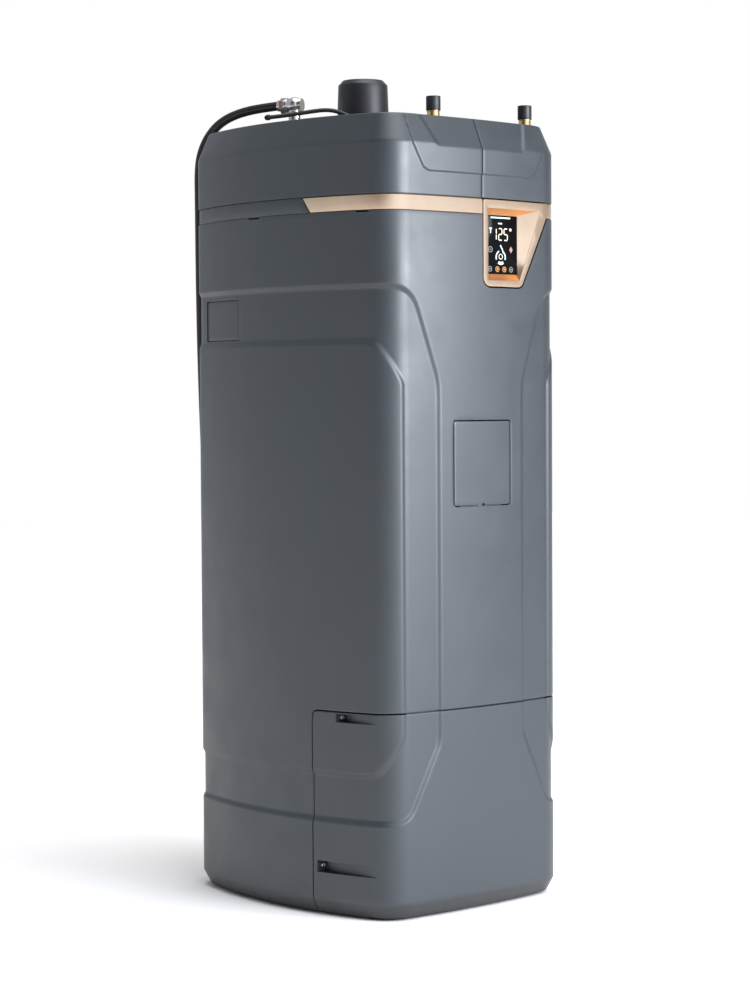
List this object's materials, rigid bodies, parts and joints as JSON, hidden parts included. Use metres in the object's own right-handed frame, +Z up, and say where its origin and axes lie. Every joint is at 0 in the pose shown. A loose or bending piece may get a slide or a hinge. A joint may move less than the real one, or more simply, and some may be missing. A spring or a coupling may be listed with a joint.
{
  "type": "storage water heater",
  "caption": "Tall floor-standing electric storage water heater with moulded casing, touch display, removable service cover, hatch, capped water connections and power whip.",
  "frame": {"origin": "on the floor under the middle of the casing", "axes": "+Z up, the front with the display faces -Y, +X to the right of a person facing the front"},
  "size_m": [0.612, 0.6992, 1.763],
  "materials": {
    "casing_plastic": "fine moulded texture, satin",
    "copper_trim": "satin metallic copper",
    "screen_glass": "polished black",
    "black_plastic": "satin",
    "grey_plastic": "satin",
    "circuit_board": "solder mask",
    "red_button": "gloss",
    "zinc_steel": "zinc plated",
    "painted_steel": "powder coat",
    "stainless": "brushed",
    "brass": "machined",
    "copper_pipe": "drawn tube",
    "tank_polymer": "moulded",
    "foam": "cut foam",
    "rubber": "matt",
    "cord_jacket": "satin vinyl",
    "cast_zinc": "die cast",
    "motor_cast": "painted casting"
  },
  "bodies": {
    "heater": {"access_frame": "grey_plastic", "base_pan": "painted_steel", "cold_pipe": "copper_pipe", "cold_water_nipple": "brass", "conduit_elbow": "cast_zinc", "conduit_nut": "cast_zinc", "control_board": "circuit_board", "control_box": "grey_plastic", "display_bezel": "copper_trim", "display_board": "circuit_board", "display_glass": "screen_glass", "display_housing": "black_plastic", "drain_pipe": "copper_pipe", "drain_valve": "brass", "filler_neck": "grey_plastic", "foot_pads": "rubber", "frame_post_left": "painted_steel", "frame_post_right": "painted_steel", "frame_posts_rear": "painted_steel", "heating_element_lower": "stainless", "heating_element_upper": "stainless", "high_limit_thermostat": "black_plastic", "hose_barb": "brass", "hose_plug": "rubber", "hot_pipe": "copper_pipe", "hot_water_nipple": "brass", "main_jacket": "casing_plastic", "neck_seal": "rubber", "overflow_hose": "cord_jacket", "plate_heat_exchanger": "stainless", "power_whip": "cord_jacket", "pump_housing": "brass", "pump_motor": "motor_cast", "pump_outlet_pipe": "copper_pipe", "rear_band": "casing_plastic", "rear_panel": "casing_plastic", "rear_panel_screws": "zinc_steel", "side_port_plate_left": "casing_plastic", "side_port_plate_right": "casing_plastic", "storage_tank": "tank_polymer", "tank_deck": "painted_steel", "tank_insulation": "foam", "tank_return_pipe": "copper_pipe", "tank_supply_pipe": "copper_pipe", "top_cover_left": "casing_plastic", "top_cover_right": "casing_plastic", "trim_band": "copper_trim", "whip_connector": "cast_zinc"},
    "lower_cover": {"lower_service_cover": "casing_plastic"},
    "hatch": {"access_cover": "casing_plastic"},
    "fill_cap_body": {"fill_cap": "black_plastic"},
    "cold_cap": {"cold_nipple_cap": "black_plastic"},
    "hot_cap": {"hot_nipple_cap": "black_plastic"},
    "reset": {"reset_button": "red_button"},
    "impeller": {"pump_impeller": "stainless"},
    "drain_handle": {"drain_lever": "painted_steel"},
    "screw_upper_left": {"cover_screw_upper_left": "zinc_steel"},
    "screw_upper_right": {"cover_screw_upper_right": "zinc_steel"},
    "screw_lower_left": {"cover_screw_lower_left": "zinc_steel"},
    "screw_lower_right": {"cover_screw_lower_right": "zinc_steel"}
  },
  "joints": [
    {"name": "lower_cover_pull_off", "type": "slide", "parent": "heater", "child": "lower_cover", "axis": [0, -1, 0], "range_m": [0, 0.22]},
    {"name": "screw_upper_left_back_out", "type": "slide", "parent": "lower_cover", "child": "screw_upper_left", "axis": [0, -1, 0], "range_m": [0, 0.016]},
    {"name": "screw_upper_right_back_out", "type": "slide", "parent": "lower_cover", "child": "screw_upper_right", "axis": [0, -1, 0], "range_m": [0, 0.016]},
    {"name": "screw_lower_left_back_out", "type": "slide", "parent": "lower_cover", "child": "screw_lower_left", "axis": [0, -1, 0], "range_m": [0, 0.016]},
    {"name": "screw_lower_right_back_out", "type": "slide", "parent": "lower_cover", "child": "screw_lower_right", "axis": [0, -1, 0], "range_m": [0, 0.016]},
    {"name": "hatch_open", "type": "hinge", "parent": "heater", "child": "hatch", "pos_m": [0, -0.3302, 1.0182], "axis": [-1, 0, 0], "range_deg": [0, 80]},
    {"name": "fill_cap_lift", "type": "slide", "parent": "heater", "child": "fill_cap_body", "axis": [0, 0, 1], "range_m": [0, 0.09]},
    {"name": "cold_cap_pull_off", "type": "slide", "parent": "heater", "child": "cold_cap", "axis": [0, 0, 1], "range_m": [0, 0.045]},
    {"name": "hot_cap_pull_off", "type": "slide", "parent": "heater", "child": "hot_cap", "axis": [0, 0, 1], "range_m": [0, 0.045]},
    {"name": "reset_button_press", "type": "slide", "parent": "heater", "child": "reset", "axis": [0, 1, 0], "range_m": [0, 0.002], "stiffness_N_per_m": 400, "springref_m": -0.002},
    {"name": "pump_impeller_spin", "type": "hinge", "parent": "heater", "child": "impeller", "pos_m": [0.12, 0.045, 0.318], "axis": [0, 0, 1], "continuous": true},
    {"name": "drain_lever_turn", "type": "hinge", "parent": "heater", "child": "drain_handle", "pos_m": [0.07, -0.212, 0.2], "axis": [0, 0, -1], "range_deg": [0, 90]}
  ]
}
